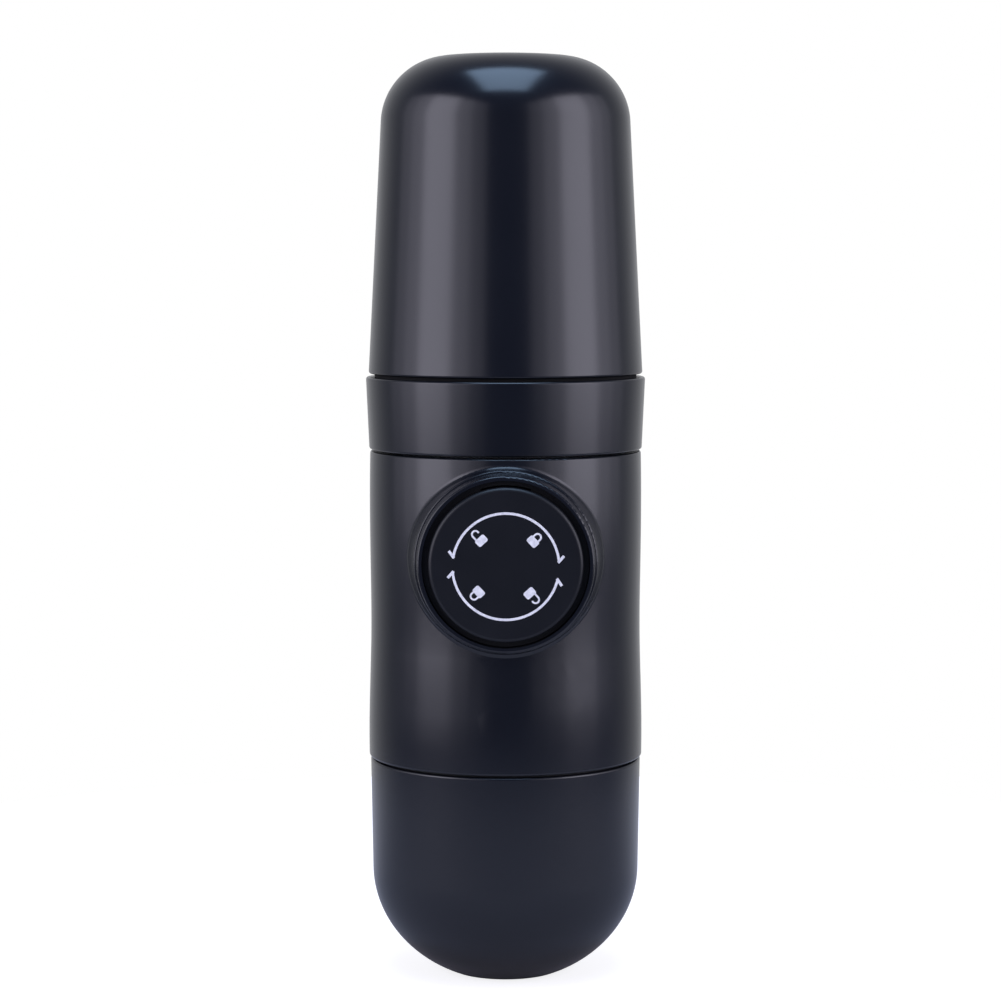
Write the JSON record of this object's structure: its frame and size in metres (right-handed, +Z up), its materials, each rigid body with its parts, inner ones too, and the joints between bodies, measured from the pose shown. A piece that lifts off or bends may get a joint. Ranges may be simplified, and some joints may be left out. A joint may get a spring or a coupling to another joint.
{
  "type": "handheld manual espresso maker",
  "caption": "Upright handheld espresso maker with a tapered cup, a screwed outlet head, a body with a side pump knob and a round-ended water tank.",
  "frame": {"origin": "middle of the flat foot of the water tank, on the long axis", "axes": "+Z up along the long axis from the tank to the cup, -Y out of the pump knob, +X to the right of someone facing the knob"},
  "size_m": [0.0606, 0.0671, 0.199],
  "materials": {
    "satin_black_plastic": "moulded satin",
    "knob_black_plastic": "moulded satin",
    "inner_black_plastic": "moulded matte",
    "grey_plastic": "moulded matte",
    "clear_grey_plastic": "polished bore",
    "white_plastic": "moulded",
    "black_rubber": "moulded silicone",
    "clear_rubber": "moulded silicone",
    "steel": "stainless"
  },
  "bodies": {
    "main_body": {"body_shell": "satin_black_plastic", "pump_frame": "grey_plastic", "inlet_seat": "white_plastic", "inlet_spring": "steel", "outlet_seat": "white_plastic", "outlet_spring": "steel", "outlet_cage": "white_plastic", "suction_strainer": "grey_plastic", "vent_valve": "clear_rubber", "pump_cylinder": "clear_grey_plastic", "cylinder_seal": "black_rubber", "guide_sleeve": "inner_black_plastic", "sleeve_screws": "steel", "return_spring": "steel", "basket_gasket": "black_rubber", "shower_screen": "steel", "shower_screw": "steel"},
    "inlet_valve_ball": {"inlet_ball": "steel"},
    "outlet_valve_ball": {"outlet_ball": "steel"},
    "piston": {"piston_rod": "grey_plastic", "piston_seal": "black_rubber", "piston_wear_ring": "white_plastic", "knob_washer": "steel", "knob_screw": "steel"},
    "knob": {"knob_cap": "knob_black_plastic", "knob_skirt": "inner_black_plastic"},
    "head_carrier": {"head_seal": "black_rubber"},
    "outlet_head": {"outlet_collar": "satin_black_plastic", "outlet_funnel": "inner_black_plastic", "cup_grip_ring": "black_rubber"},
    "basket": {"filter_basket": "steel"},
    "cup": {"cup": "satin_black_plastic"},
    "tank_carrier": {"tank_seal": "black_rubber"},
    "tank": {"water_tank": "satin_black_plastic"}
  },
  "joints": [
    {"name": "piston_pump", "type": "slide", "parent": "main_body", "child": "piston", "axis": [0, -1, 0], "range_m": [0, 0.018], "deforming": ["return_spring"]},
    {"name": "knob_turn", "type": "hinge", "parent": "piston", "child": "knob", "pos_m": [0, 0, 0.09285], "axis": [0, 1, 0], "range_deg": [0, 45]},
    {"name": "head_lift", "type": "slide", "parent": "main_body", "child": "head_carrier", "axis": [0, 0, 1], "range_m": [0, 0.009]},
    {"name": "head_turn", "type": "hinge", "parent": "head_carrier", "child": "outlet_head", "pos_m": [0, 0, 0.12], "axis": [0, 0, 1], "range_deg": [0, 1080]},
    {"name": "basket_lift", "type": "slide", "parent": "main_body", "child": "basket", "axis": [0, 0, 1], "range_m": [0, 0.0045]},
    {"name": "cup_lift", "type": "slide", "parent": "outlet_head", "child": "cup", "axis": [0, 0, 1], "range_m": [0, 0.07]},
    {"name": "tank_lower", "type": "slide", "parent": "main_body", "child": "tank_carrier", "axis": [0, 0, -1], "range_m": [0, 0.009]},
    {"name": "tank_turn", "type": "hinge", "parent": "tank_carrier", "child": "tank", "pos_m": [0, 0, 0.045], "axis": [0, 0, -1], "range_deg": [0, 1080]},
    {"name": "inlet_ball_lift", "type": "slide", "parent": "main_body", "child": "inlet_valve_ball", "axis": [0, 0, 1], "range_m": [0, 0.001], "deforming": ["inlet_spring"]},
    {"name": "outlet_ball_lift", "type": "slide", "parent": "main_body", "child": "outlet_valve_ball", "axis": [0, 0, 1], "range_m": [0, 0.001], "deforming": ["outlet_spring"]}
  ],
  "couplings": [
    {"joint": "head_lift", "follows": "head_turn", "m_per_rad": 0.00047746},
    {"joint": "basket_lift", "follows": "head_turn", "m_per_rad": 0.00023873},
    {"joint": "tank_lower", "follows": "tank_turn", "m_per_rad": 0.00047746}
  ]
}
